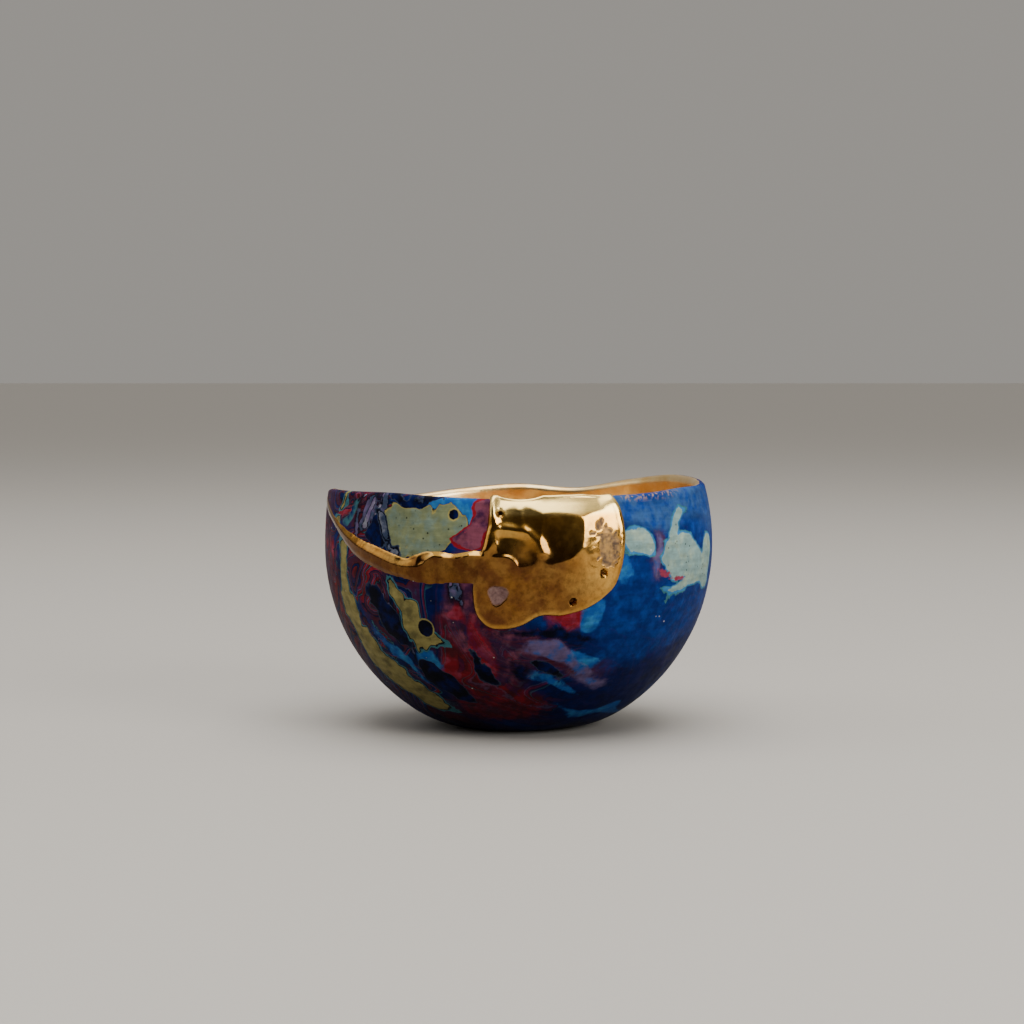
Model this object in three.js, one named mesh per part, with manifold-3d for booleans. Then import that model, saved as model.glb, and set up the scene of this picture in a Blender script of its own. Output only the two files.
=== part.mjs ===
// A mended sake cup: a hand-formed round bowl with a small flat foot and an uneven lip.
// A shard broke out of its lip and a piece beside it was lost. The shard is back in place,
// held by a raised gold seam, and a faceted gold fill takes the place of the lost piece.
// Millimetres, +Z up, origin at the centre of the foot's underside. Azimuth 0 is the front (-Y)
// and 90 is the right-hand side (+X), in degrees.

import * as THREE from "three";
import { mergeVertices } from "three/addons/utils/BufferGeometryUtils.js";
import Module from "manifold-3d";

// The bowl's section
const bellyRadius = 35.5; // outside, at the widest ring
const bellyHeight = 32.8; // of the widest ring above the table
const lipAboveBelly = 10.4; // mean height of the lip over the widest ring
const bellySag = 2.7; // how far below the table the belly's round would reach
const shoulderRound = 35.5; // the smaller this is, the more the wall closes in under the lip
const footRadius = 9.8; // the flat spot that the cup stands on
const footBlendHeight = 4; // where the belly's round meets the flatter underside
const lipWall = 2.3; // wall thickness at the lip
const bellyWall = 2.9; // and at the widest ring
const floorThickness = 4.2; // under the middle of the hollow
const lipCrown = 0.9; // height of the lip's rounding

// The hand's share in the form
const swayHeight = 2.3; // how far the lip dips below its mean height at its lowest
// The lip's height over its mean as shares of swayHeight, evenly round the cup from the back on.
const swayShares = [
  -0.2, -0.57, -1, -0.65, -0.13, 0.13, 0.2, 0.24, 0.02, -0.07, 0.04, 0.2, 0.46, 0.5, 0.78, 0.87, 0.33, -0.48,
];
const uprightWidth = 0.9; // how much further out the lip stands on the upright side
const uprightAzimuth = -90;

// The mend
const goldThickness = 0.6; // how far the gold stands above the paint
const goldBed = 0.5; // how deep its edge is let into the clay
const goldLap = 0.9; // how far it laps over the edge of the lost piece
const crackWidth = 1; // the gap between shard and bowl, which the seam fills
const seamWidth = 5.6; // of the seam over the crack, at its wide end
const dipRadius = 3.6; // of the thumb-sized dips in the gold
const dipDepth = 0.4;
const crestWidth = 3.2; // of the crests on the gold
const crestHeight = 0.3;
const jointGap = 0.3; // clearance between gold and clay

// The lost piece: [azimuth, height as a share of the lip's], round its outline from the lip's left.
const patchRoute = [
  [-8.2, 1.08], [-8.4, 0.97], [-9, 0.87], [-10.8, 0.78], [-12.6, 0.68], [-13.1, 0.61], [-12, 0.53],
  [-8.8, 0.487], [-4, 0.48], [1, 0.497], [6, 0.535], [12, 0.535], [19, 0.558], [24.2, 0.6],
  [28, 0.655], [30.2, 0.75], [30.9, 0.85], [30.3, 0.94], [28.4, 1.02], [27.6, 1.08],
];
// The crack from the lost piece up to the lip: [azimuth, height share, share of seamWidth].
const crackRoute = [
  [-4, 0.725, 1], [-12, 0.727, 1], [-19, 0.722, 0.9], [-25, 0.72, 1.05], [-29.5, 0.715, 0.88],
  [-33.5, 0.714, 0.63], [-38, 0.727, 0.66], [-45, 0.753, 0.68], [-51, 0.777, 0.62], [-57, 0.81, 0.5],
  [-63, 0.848, 0.36], [-69, 0.886, 0.28], [-77, 0.926, 0.26], [-85, 0.962, 0.26], [-91, 0.99, 0.27],
  [-96, 1.04, 0.29], [-100, 1.12, 0.3],
];
// Dips and facets of the gold: [azimuth, height share, share of dipRadius, share of dipDepth].
const dipPlaces = [
  [-0.4, 0.783, 0.95, 1.1],
  [9.9, 0.87, 1.3, 0.85],
  [22.5, 0.72, 1, 0.5],
  [-88, 0.97, 2.6, 1],
];
// Crests of the gold: [azimuth, height share] at both ends, share of crestWidth, share of crestHeight.
const crestPlaces = [
  [[-6.5, 0.93], [-9.5, 0.74], 0.9, 1.1],
  [[-3.5, 0.94], [5.6, 0.79], 0.95, 1],
  [[18.6, 0.97], [18.4, 0.8], 1, 0.9],
  [[-10, 0.765], [-27, 0.765], 0.9, 1],
  [[-32, 0.725], [-45, 0.765], 0.9, 0.9],
  [[-45, 0.765], [-62, 0.855], 0.8, 0.8],
];

const wallSegments = 60; // facets round the bowl
const goldSegments = 120; // facets round the forms that the gold is cut from
const outlineSteps = 44;
const seamSteps = 32;
const degree = Math.PI / 180;
const lipHeight = bellyHeight + lipAboveBelly;

const wasm = await Module();
wasm.setup();

const smooth = (t) => THREE.MathUtils.smoothstep(t, 0, 1);

// The outside of the section from the edge of the foot up to a level, grown along its normal.
function outside(grow, level, steps) {
  const belly = bellyHeight + bellySag;
  const join = Math.acos((bellyHeight - footBlendHeight) / belly);
  const joinRadius = bellyRadius * Math.sin(join);
  const slope = (belly / bellyRadius) * Math.tan(join);
  const top = Math.asin((level - bellyHeight) / shoulderRound);
  const path = new THREE.Path();
  path.moveTo(footRadius, 0);
  path.quadraticCurveTo(joinRadius - footBlendHeight / slope, 0, joinRadius, footBlendHeight);
  path.absellipse(0, bellyHeight, bellyRadius, belly, join - Math.PI / 2, 0, false);
  path.absellipse(0, bellyHeight, bellyRadius, shoulderRound, 0, top, false);
  return Array.from({ length: steps + 1 }, (_, k) => {
    const at = path.getPointAt(k / steps);
    const along = path.getTangentAt(k / steps);
    const sideways = k === 0 ? 0 : along.y;
    const height = k === steps ? level : at.y - grow * along.x;
    return { radius: at.x + grow * sideways, height, raised: true };
  });
}

// The inside from the lip down to the middle of the floor. The wall is thinner at the lip.
function inside(level, steps) {
  const top = Math.asin((level - bellyHeight) / shoulderRound);
  const hollow = bellyRadius - bellyWall;
  const thinner = (bellyWall - lipWall) * (bellyRadius / hollow);
  return Array.from({ length: steps + 1 }, (_, k) => {
    const angle = top - ((top + Math.PI / 2) * k) / steps;
    const radius = hollow * Math.cos(angle) + thinner * Math.max(0, angle / top);
    const reach = angle > 0 ? shoulderRound : bellyHeight - floorThickness;
    return { radius: k === steps ? 0 : radius, height: bellyHeight + reach * Math.sin(angle) };
  });
}

// The rounding of the lip between the last point outside and the first point inside.
function lipRound(outer, inner, steps) {
  const middle = (outer.radius + inner.radius) / 2;
  const half = (outer.radius - inner.radius) / 2;
  return Array.from({ length: steps - 1 }, (_, k) => {
    const angle = (Math.PI * (k + 1)) / steps;
    return { radius: middle + half * Math.cos(angle), height: outer.height + lipCrown * Math.sin(angle) };
  });
}

// The bowl's whole section, with its outside grown by grow.
function wallSection(grow, outerSteps, innerSteps, lipSteps) {
  const level = lipHeight - lipCrown;
  const outer = outside(grow, level, outerSteps);
  const inner = inside(level, innerSteps);
  const crown = lipRound(outer[outerSteps], inner[0], lipSteps);
  return [{ radius: 0, height: outer[0].height }, ...outer, ...crown, ...inner];
}

// Everything that lies deeper than depth under the bowl's outside and under its lip.
function coreSection(depth, steps) {
  const outer = outside(-depth, lipHeight - lipCrown - depth, steps);
  const height = outer[steps].height;
  return [{ radius: 0, height: outer[0].height }, ...outer, { radius: bellyRadius / 2, height }, { radius: 0, height }];
}

// The lip's height over its mean: a smooth closed line through the values of swayShares.
function swayAt(azimuth) {
  const place = ((azimuth + 180) / 360) * swayShares.length;
  const before = Math.floor(place);
  const value = (k) => swayShares[THREE.MathUtils.euclideanModulo(before + k, swayShares.length)];
  const t = place - before;
  const [a, b, c, d] = [value(-1), value(0), value(1), value(2)];
  const share = b + 0.5 * t * (c - a + t * (2 * a - 5 * b + 4 * c - d + t * (3 * (b - c) + d - a)));
  return share * swayHeight;
}

// The wall laid out flat: azimuth becomes a length that is true at the widest ring.
const flat = ([azimuth, share]) => new THREE.Vector3(azimuth * degree * bellyRadius, share * lipHeight, 0);

// What the dips and crests add to the gold's build-up.
function goldRelief(azimuth, share) {
  const here = flat([azimuth, share]);
  let lift = 0;
  for (const [at, level, radius, depth] of dipPlaces) {
    const spread = here.distanceTo(flat([at, level])) / (radius * dipRadius);
    lift -= depth * dipDepth * (1 - smooth(spread));
  }
  for (const [from, to, width, height] of crestPlaces) {
    const nearest = new THREE.Line3(flat(from), flat(to)).closestPointToPoint(here, true, new THREE.Vector3());
    const spread = nearest.distanceTo(here) / ((width * crestWidth) / 2);
    lift += height * crestHeight * Math.max(0, 1 - spread);
  }
  return lift;
}

// Turns a section about the axis and lets the hand in: the wall follows the lip's sway and leans
// out on the upright side, and relief lifts the gold.
function turned(section, segments, relief = () => 0) {
  const profile = section.map(({ radius, height }) => new THREE.Vector2(radius, height));
  const geometry = new THREE.LatheGeometry(profile, segments).rotateX(Math.PI / 2);
  const position = geometry.attributes.position;
  for (let i = 0; i < position.count; i++) {
    const { radius, height, raised } = section[i % section.length];
    const turn = Math.floor(i / section.length) % segments;
    const azimuth = THREE.MathUtils.euclideanModulo((turn * 360) / segments + 180, 360) - 180;
    const lift = raised ? relief(azimuth, height / lipHeight) : 0;
    const raise = Math.max(0, height - footBlendHeight) / (lipHeight - footBlendHeight);
    const above = Math.max(0, height - bellyHeight) / lipAboveBelly;
    const wall = smooth(radius / (0.6 * bellyRadius));
    const upright = 0.5 + 0.5 * Math.cos((azimuth - uprightAzimuth) * degree);
    const reach = radius + lift + uprightWidth * upright * above ** 2 * wall;
    const level = height + swayAt(azimuth) * raise ** 2 * wall;
    position.setXYZ(i, reach * Math.sin(azimuth * degree), -reach * Math.cos(azimuth * degree), level);
  }
  return solid(geometry);
}

// A closed geometry as a solid that can be joined and cut.
function solid(geometry) {
  geometry.deleteAttribute("normal");
  geometry.deleteAttribute("uv");
  const merged = mergeVertices(geometry, 1e-4);
  const corners = merged.index.array;
  const kept = [];
  for (let i = 0; i < corners.length; i += 3) {
    const [a, b, c] = corners.subarray(i, i + 3);
    if (a !== b && b !== c && c !== a) kept.push(a, b, c);
  }
  const vertProperties = merged.attributes.position.array;
  return new wasm.Manifold(new wasm.Mesh({ numProp: 3, vertProperties, triVerts: Uint32Array.from(kept) }));
}

// A closed outline through the points, moved outwards by grow.
function rounded(outline, grow) {
  const line = new THREE.CatmullRomCurve3(outline.map(flat), true, "centripetal");
  return Array.from({ length: outlineSteps }, (_, k) => {
    const at = line.getPointAt(k / outlineSteps);
    const along = line.getTangentAt(k / outlineSteps);
    return new THREE.Vector2(at.x + along.y * grow, at.y - along.x * grow);
  });
}

// A ribbon along the crack: as wide as the seam, or width wide where that is given.
function ribbon(grow, width) {
  const stations = crackRoute.map(([azimuth, share, wide]) => flat([azimuth, share]).setZ(wide));
  const line = new THREE.CatmullRomCurve3(stations, false, "centripetal");
  const edge = (k, side) => {
    const at = line.getPoint(k / seamSteps);
    const along = line.getTangent(k / seamSteps).setZ(0).normalize();
    const reach = side * ((width ?? at.z * seamWidth) / 2 + grow);
    return new THREE.Vector2(at.x - along.y * reach, at.y + along.x * reach);
  };
  const steps = Array.from({ length: seamSteps + 1 }, (_, k) => k);
  return [...steps.map((k) => edge(k, 1)), ...steps.reverse().map((k) => edge(k, -1))];
}

// Everything behind an outline on the wall, from inside the hollow to well outside the bowl. Stations
// close to both faces of the wall keep the sides true to the outline there.
function throughWall(outline) {
  const stations = [0.4, 0.8, 1.1, 5].map((share) => share * bellyRadius);
  const steps = stations.length - 1;
  const geometry = new THREE.ExtrudeGeometry(new THREE.Shape(outline), { depth: steps, steps, bevelEnabled: false });
  const position = geometry.attributes.position;
  for (let i = 0; i < position.count; i++) {
    const azimuth = position.getX(i) / bellyRadius;
    const radius = stations[Math.round(position.getZ(i))];
    position.setXYZ(i, radius * Math.sin(azimuth), -radius * Math.cos(azimuth), position.getY(i));
  }
  return solid(geometry);
}

// The gold fills the lost piece and the crack through the wall, and laps over their edges.
const lapped = (grow) => throughWall(rounded(patchRoute, grow)).add(throughWall(ribbon(grow)));
const filled = (grow) =>
  throughWall(rounded(patchRoute, grow - goldLap)).add(throughWall(ribbon(grow, crackWidth)));
const core = (depth) => turned(coreSection(depth, 18), wallSegments);

const raisedBowl = turned(wallSection(goldThickness, 26, 11, 4), goldSegments, goldRelief);
const gold = raisedBowl.intersect(lapped(0).subtract(core(goldBed)).add(filled(0)));

const bowl = turned(wallSection(0, 17, 11, 4), wallSegments);
const bed = lapped(jointGap).subtract(core(goldBed + jointGap));
const clay = bowl.subtract(bed.add(filled(jointGap)));

// The shard is all that lies over the crack, between the lost piece and the crack's end.
const crackLine = crackRoute.map(([azimuth, share]) => flat([azimuth, share]));
const overLip = (point) => new THREE.Vector2(point.x, 1.3 * lipHeight);
const overCrack = throughWall([...crackLine, overLip(crackLine.at(-1)), overLip(crackLine[0])]);

function piece(name, shape, material) {
  const { vertProperties, triVerts } = shape.getMesh();
  const geometry = new THREE.BufferGeometry();
  geometry.setAttribute("position", new THREE.BufferAttribute(vertProperties, 3));
  geometry.setIndex(new THREE.BufferAttribute(triVerts, 1));
  geometry.computeVertexNormals();
  const mesh = new THREE.Mesh(geometry, material);
  mesh.name = name;
  return mesh;
}

const paintedClay = new THREE.MeshStandardMaterial({ color: 0x1f4a86, roughness: 0.55, metalness: 0 });
const mottledClay = new THREE.MeshStandardMaterial({ color: 0x8f9266, roughness: 0.55, metalness: 0 });
const polishedGold = new THREE.MeshStandardMaterial({ color: 0xd69a3a, roughness: 0.12, metalness: 1 });

const cup = new THREE.Group();
cup.add(piece("cup_body", clay.subtract(overCrack), paintedClay));
cup.add(piece("rejoined_shard", clay.intersect(overCrack), mottledClay));
cup.add(piece("gold_repair", gold, polishedGold));

export default cup;
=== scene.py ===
# A sake cup, marbled outside and gilded inside, mended in gold after its lip broke.
# Metres, +Z up, the foot on the origin. Azimuth 0 is the front (-Y), 90 the right-hand side (+X).
import math

import bmesh
import bpy
import numpy as np
from mathutils import Matrix, Vector


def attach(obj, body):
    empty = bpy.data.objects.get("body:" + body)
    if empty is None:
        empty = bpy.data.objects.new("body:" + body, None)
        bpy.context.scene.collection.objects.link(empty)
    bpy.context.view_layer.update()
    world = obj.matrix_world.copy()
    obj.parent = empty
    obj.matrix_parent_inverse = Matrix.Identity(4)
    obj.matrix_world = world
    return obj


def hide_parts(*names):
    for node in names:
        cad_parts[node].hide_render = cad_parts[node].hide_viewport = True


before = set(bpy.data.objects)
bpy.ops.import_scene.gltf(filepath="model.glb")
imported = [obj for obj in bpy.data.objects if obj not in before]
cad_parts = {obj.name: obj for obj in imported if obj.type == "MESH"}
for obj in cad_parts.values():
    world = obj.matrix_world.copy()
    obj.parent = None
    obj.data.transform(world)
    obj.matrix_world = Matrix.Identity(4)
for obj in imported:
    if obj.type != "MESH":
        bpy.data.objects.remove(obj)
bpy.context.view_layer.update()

mm = 0.001

# The cup's form in millimetres and degrees, as in the frame. The hand has formed it fully from wallFrom on,
# a share of the radius
cup = dict(
    bellyRadius=35.5,
    bellyHeight=32.8,
    lipAboveBelly=10.4,
    bellySag=2.7,
    shoulderRound=35.5,
    footRadius=9.8,
    footBlendHeight=4.0,
    lipWall=2.3,
    bellyWall=2.9,
    floorThickness=4.2,
    lipCrown=0.9,
    lean=0.9,
    leanAzimuth=-90.0,
    wallFrom=0.6,
    sectionPoints=900,
    swayStep=20.0,
    sway=[-0.45, -1.3, -2.3, -1.5, -0.3, 0.3, 0.45, 0.55, 0.05,
          -0.15, 0.1, 0.45, 1.05, 1.15, 1.8, 2.0, 0.75, -1.1],
)
lipHeight = cup["bellyHeight"] + cup["lipAboveBelly"]


def smooth(t):
    t = np.clip(t, 0.0, 1.0)
    return t * t * (3 - 2 * t)


def fade(value, start, end):
    # 0 up to the start and 1 from the end on, smooth between them, whichever is the greater
    return smooth((value - start) / (end - start))


def hill(distance, reach):
    # 1 in the middle, falling off softly
    return np.exp(-(distance / reach) ** 2)


def swayAt(azimuth):
    # the lip's height over its mean: a smooth closed line through the sway's values
    values = np.array(cup["sway"])
    place = (np.asarray(azimuth, float) + 180) / cup["swayStep"]
    before = np.floor(place).astype(int)
    t = place - before
    a, b, c, d = (values[(before + k) % len(values)] for k in (-1, 0, 1, 2))
    return b + 0.5 * t * (c - a + t * (2 * a - 5 * b + 4 * c - d + t * (3 * (b - c) + d - a)))


def evenly(line, count):
    # count points at equal steps along a polyline
    line = np.asarray(line, float)
    run = np.concatenate([[0], np.cumsum(np.linalg.norm(np.diff(line, axis=0), axis=1))])
    at = np.linspace(0, run[-1], count)
    return np.column_stack([np.interp(at, run, column) for column in line.T])


def outsideLine():
    # from the foot's edge up to the lip's crown, as (radius, height)
    belly = cup["bellyHeight"] + cup["bellySag"]
    join = math.acos((cup["bellyHeight"] - cup["footBlendHeight"]) / belly)
    joinRadius = cup["bellyRadius"] * math.sin(join)
    slope = belly / cup["bellyRadius"] * math.tan(join)
    bend = joinRadius - cup["footBlendHeight"] / slope
    t = np.linspace(0, 1, 60)[:, None]
    foot, corner, end = np.array([(cup["footRadius"], 0), (bend, 0), (joinRadius, cup["footBlendHeight"])])
    underside = (1 - t) ** 2 * foot + 2 * t * (1 - t) * corner + t ** 2 * end
    level = cup["lipAboveBelly"] - cup["lipCrown"]
    low = np.linspace(join - math.pi / 2, 0, 200)[1:]
    high = np.linspace(0, math.asin(level / cup["shoulderRound"]), 80)[1:]
    lower = np.column_stack([cup["bellyRadius"] * np.cos(low), cup["bellyHeight"] + belly * np.sin(low)])
    upper = np.column_stack([cup["bellyRadius"] * np.cos(high),
                             cup["bellyHeight"] + cup["shoulderRound"] * np.sin(high)])
    return np.vstack([underside, lower, upper])


def insideLine():
    # from the lip's crown down to the middle of the floor
    top = math.asin((cup["lipAboveBelly"] - cup["lipCrown"]) / cup["shoulderRound"])
    hollow = cup["bellyRadius"] - cup["bellyWall"]
    thinner = (cup["bellyWall"] - cup["lipWall"]) * cup["bellyRadius"] / hollow
    angle = np.linspace(top, -math.pi / 2, 260)
    reach = np.where(angle > 0, cup["shoulderRound"], cup["bellyHeight"] - cup["floorThickness"])
    radius = hollow * np.cos(angle) + thinner * np.maximum(0, angle / top)
    return np.column_stack([np.maximum(radius, 0), cup["bellyHeight"] + reach * np.sin(angle)])


def lipLine():
    outer, inner = outsideLine()[-1], insideLine()[0]
    angle = np.linspace(0, math.pi, 26)[1:-1]
    half, middle = (outer[0] - inner[0]) / 2, (outer[0] + inner[0]) / 2
    return np.column_stack([middle + half * np.cos(angle), outer[1] + cup["lipCrown"] * np.sin(angle)])


def wholeSection():
    # from the middle of the foot, over the lip, to the middle of the floor
    return evenly(np.vstack([[0, 0], outsideLine(), lipLine(), insideLine()]), cup["sectionPoints"])


def raisedShare(height):
    return np.maximum(0, height - cup["footBlendHeight"]) / (lipHeight - cup["footBlendHeight"])


def leaning(height, azimuth):
    # how far the hand has pushed the wall out here
    above = np.maximum(0, height - cup["bellyHeight"]) / cup["lipAboveBelly"]
    facing = 0.5 + 0.5 * np.cos(np.radians(azimuth - cup["leanAzimuth"]))
    return cup["lean"] * facing * above ** 2


def handFormed(radius, height, azimuth):
    # a point of the even section where the hand has put it, in millimetres
    wall = smooth(radius / (cup["wallFrom"] * cup["bellyRadius"]))
    return (radius + leaning(height, azimuth) * wall,
            height + swayAt(azimuth) * raisedShare(height) ** 2 * wall)


def evenHeight(level, azimuth):
    # the height on the even section of a point that is this high on the finished wall
    height = np.array(level, float)
    for _ in range(4):
        height = level - swayAt(azimuth) * raisedShare(height) ** 2
    return height


def roundCup(azimuth, reach, level):
    # points at these azimuths, so far from the middle and so high
    a = np.radians(azimuth)
    return np.column_stack([reach * np.sin(a), -reach * np.cos(a), level])


def srgb(r, g, b):
    # a screen colour, 0 to 255, as the linear colour that a shader takes
    return (*(((c / 255 + 0.055) / 1.055) ** 2.4 for c in (r, g, b)), 1.0)


def newObject(name, data):
    thing = bpy.data.objects.new(name, data)
    bpy.context.collection.objects.link(thing)
    return thing


def newMesh(name, points, faces):
    mesh = bpy.data.meshes.new(name)
    mesh.from_pydata([tuple(p) for p in points], [], faces)
    return newObject(name, mesh)


# Node trees, for shapes and materials alike
def addNode(tree, kind, *values, **settings):
    # values go to the node's inputs in order; one that is a socket is linked
    node = tree.nodes.new(kind)
    for name, value in settings.items():
        setattr(node, name, value)
    for place, value in enumerate(values):
        plug(tree, node.inputs[place], value)
    return node


def plug(tree, socket, value):
    if isinstance(value, bpy.types.NodeSocket):
        tree.links.new(value, socket)
    elif value is not None:
        socket.default_value = value


def plugAll(tree, node, values):
    for name, value in values.items():
        plug(tree, node.inputs[name], value)


def newSockets(tree, **names):
    # the group's inputs, by the kind of their values, and the node inside it that gives them
    for kind, group in names.items():
        for name in group.split(", "):
            tree.interface.new_socket(name, in_out="INPUT", socket_type="NodeSocket" + kind)
    return addNode(tree, "NodeGroupInput").outputs


def calc(tree, operation, *values, clamp=False):
    return addNode(tree, "ShaderNodeMath", *values, operation=operation, use_clamp=clamp).outputs[0]


def vectorCalc(tree, operation, *values):
    node = addNode(tree, "ShaderNodeVectorMath", operation=operation)
    inputs = {"SCALE": (0, 3)}.get(operation, (0, 1, 2))
    for place, value in zip(inputs, values):
        plug(tree, node.inputs[place], value)
    return node.outputs["Vector"]


def ranged(tree, value, low, high, newLow=0.0, newHigh=1.0, kind="SMOOTHSTEP"):
    return addNode(tree, "ShaderNodeMapRange", value, low, high, newLow, newHigh,
                   interpolation_type=kind).outputs[0]


def noise(tree, place, scale, detail, roughness, seed):
    node = addNode(tree, "ShaderNodeTexNoise", noise_dimensions="4D")
    plugAll(tree, node, dict(Vector=place, Scale=scale, Detail=detail, Roughness=roughness, W=seed))
    return node.outputs["Fac"]


def mixed(tree, factor, under, over, blend="MIX"):
    node = addNode(tree, "ShaderNodeMix", data_type="RGBA", blend_type=blend, clamp_factor=True)
    for name, value in (("Factor_Float", factor), ("A_Color", under), ("B_Color", over)):
        socket = next(s for s in node.inputs if s.identifier == name)
        plug(tree, socket, value)
    return next(s for s in node.outputs if s.identifier == "Result_Color")


def ramp(tree, value, stops):
    node = addNode(tree, "ShaderNodeValToRGB", value)
    elements = node.color_ramp.elements
    while len(elements) < len(stops):
        elements.new(1.0)
    for element, (place, _) in zip(elements, stops):
        element.position = place
    for element, (_, colour) in zip(elements, stops):
        element.color = colour
    return node.outputs


def spots(tree, place, scale, start, end, strength):
    # round spots scattered over the surface, strong in the middle and gone at the end distance
    node = addNode(tree, "ShaderNodeTexVoronoi", place)
    node.inputs["Scale"].default_value = scale
    return ranged(tree, node.outputs["Distance"], start, end, strength, 0.0)


def stored(tree, name):
    return addNode(tree, "ShaderNodeAttribute", attribute_name=name).outputs["Fac"]


def placeOnObject(tree):
    # in millimetres
    return vectorCalc(tree, "SCALE", addNode(tree, "ShaderNodeTexCoord").outputs["Object"], 1 / mm)


def addBump(tree, shader, strength, distance, grain):
    bump = addNode(tree, "ShaderNodeBump")
    plugAll(tree, bump, {"Strength": strength, "Distance": distance * mm, "Height": grain})
    plug(tree, shader.inputs["Normal"], bump.outputs[0])


def newMaterial(name):
    material = bpy.data.materials.new(name)
    material.use_nodes = True
    tree = material.node_tree
    tree.nodes.clear()
    shader = addNode(tree, "ShaderNodeBsdfPrincipled")
    output = addNode(tree, "ShaderNodeOutputMaterial")
    tree.links.new(shader.outputs[0], output.inputs[0])
    return material, tree, shader


# Gold, shared by the lining and the mend
gold = dict(
    bright=srgb(238, 188, 96),
    deep=srgb(212, 146, 52),
    # colours of the mend's painted shade, of its mottled film, of its pits and the painted shade on the
    # seam, and of its painted highlight at the lip, in turn
    paintedShadeAmber=srgb(98, 60, 32),
    umber=srgb(70, 42, 20),
    pitsAndPaintedShade=srgb(60, 34, 14),
    paintedHighlight=srgb(255, 220, 136),
    bareDark=srgb(80, 50, 48),
    bareLight=srgb(132, 102, 96),
    scuffDark=srgb(50, 32, 18),
    scuffLight=srgb(116, 88, 58),
    liningBright=srgb(252, 224, 168),
    liningDeep=srgb(236, 192, 120),
    liningRoughness=0.3,
    mendRoughness=(0.1, 0.21),
)

# Paints of the marbled outside
paint = dict(
    ink=srgb(3, 6, 24),
    midnight=srgb(2, 14, 60),
    navy=srgb(3, 20, 80),
    cobalt=srgb(5, 40, 110),
    royal=srgb(12, 60, 140),
    # painted highlight: the blue of a lighter band along the lip on the right
    paintedHighlightBlue=srgb(54, 92, 146),
    azure=srgb(24, 84, 160),
    sky=srgb(56, 124, 178),
    teal=srgb(60, 112, 124),
    mint=srgb(134, 164, 162),
    foam=srgb(160, 180, 162),
    sage=srgb(118, 126, 94),
    fern=srgb(112, 130, 118),
    straw=srgb(152, 142, 86),
    olive=srgb(110, 104, 66),
    crimson=srgb(134, 26, 38),
    rose=srgb(150, 58, 82),
    maroon=srgb(76, 24, 32),
    plum=srgb(62, 30, 62),
    mauve=srgb(124, 66, 84),
    lilac=srgb(104, 88, 126),
    pearl=srgb(146, 148, 160),
    slate=srgb(54, 66, 92),
    chalk=srgb(206, 204, 196),
    clay=srgb(150, 122, 110),
)
# Coats of paint from the lowest up, each with its two colours, how soft its edge is in millimetres, and
# where it has them the colours and widths of the line inside its edge and of the one around it
coats = dict(
    calm=dict(body=("cobalt", "royal"), soft=6.0),
    # painted highlight: a lighter band along the top of the right-hand side
    dusty=dict(body=("paintedHighlightBlue", "royal"), soft=5.0),
    deep=dict(body=("navy", "midnight"), soft=3.0),
    plum=dict(body=("plum", "maroon"), soft=2.4),
    embers=dict(body=("maroon", "crimson"), soft=3.0),
    mauve=dict(body=("plum", "mauve"), soft=2.0),
    crimson=dict(body=("crimson", "rose"), soft=1.0),
    slate=dict(body=("slate", "lilac"), soft=0.8, line=("ink", 0.25)),
    teal=dict(body=("teal", "navy"), soft=0.4),
    azure=dict(body=("azure", "sky"), soft=0.7),
    lilac=dict(body=("lilac", "azure"), soft=0.9),
    feather=dict(body=("lilac", "pearl"), soft=0.2, line=("ink", 0.12)),
    night=dict(body=("ink", "navy"), soft=0.9),
    ink=dict(body=("ink", "navy"), soft=0.25, halo=("slate", 0.13)),
    straw=dict(body=("straw", "olive"), soft=0.12, line=("ink", 0.12), halo=("teal", 0.3)),
    mint=dict(body=("mint", "foam"), soft=0.12, line=("sky", 0.22), halo=("teal", 0.2)),
    sage=dict(body=("sage", "fern"), soft=0.12, line=("straw", 0.14), halo=("ink", 0.12)),
    curl=dict(body=("slate", "pearl"), soft=0.3, line=("ink", 0.25), halo=("slate", 0.2)),
    wine=dict(body=("mauve", "plum"), soft=0.15, line=("crimson", 0.4)),
    rose=dict(body=("rose", "crimson"), soft=0.2),
    dot=dict(body=("ink", "navy"), soft=0.12, halo=("straw", 0.3)),
)

# The glaze over them all. Its veins run through these paints from share to share of each band, clear between
glaze = dict(
    veinCount=2.6,
    veins=[(0.0, "clear"), (0.16, "clear"), (0.17, "ink"), (0.22, "navy"), (0.26, "ink"), (0.28, "maroon"),
           (0.42, "plum"), (0.44, "slate"), (0.46, "ink"), (0.5, "navy"), (0.52, "clear"), (0.6, "clear"),
           (0.61, "slate"), (0.63, "lilac"), (0.65, "plum"), (0.72, "crimson"), (0.76, "maroon"),
           (0.79, "ink"), (0.84, "teal"), (0.85, "navy"), (0.9, "clear")],
    # painted shade: the paint darkens towards the foot, to the darkest share at and below the first height,
    # not at all from the second up
    paintedShadeFullBelow=3.0,
    paintedShadeUpTo=36.0,
    paintedShadeDarkest=0.4,
    roughness=(0.45, 0.62),
    shine=0.04,
)

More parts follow.
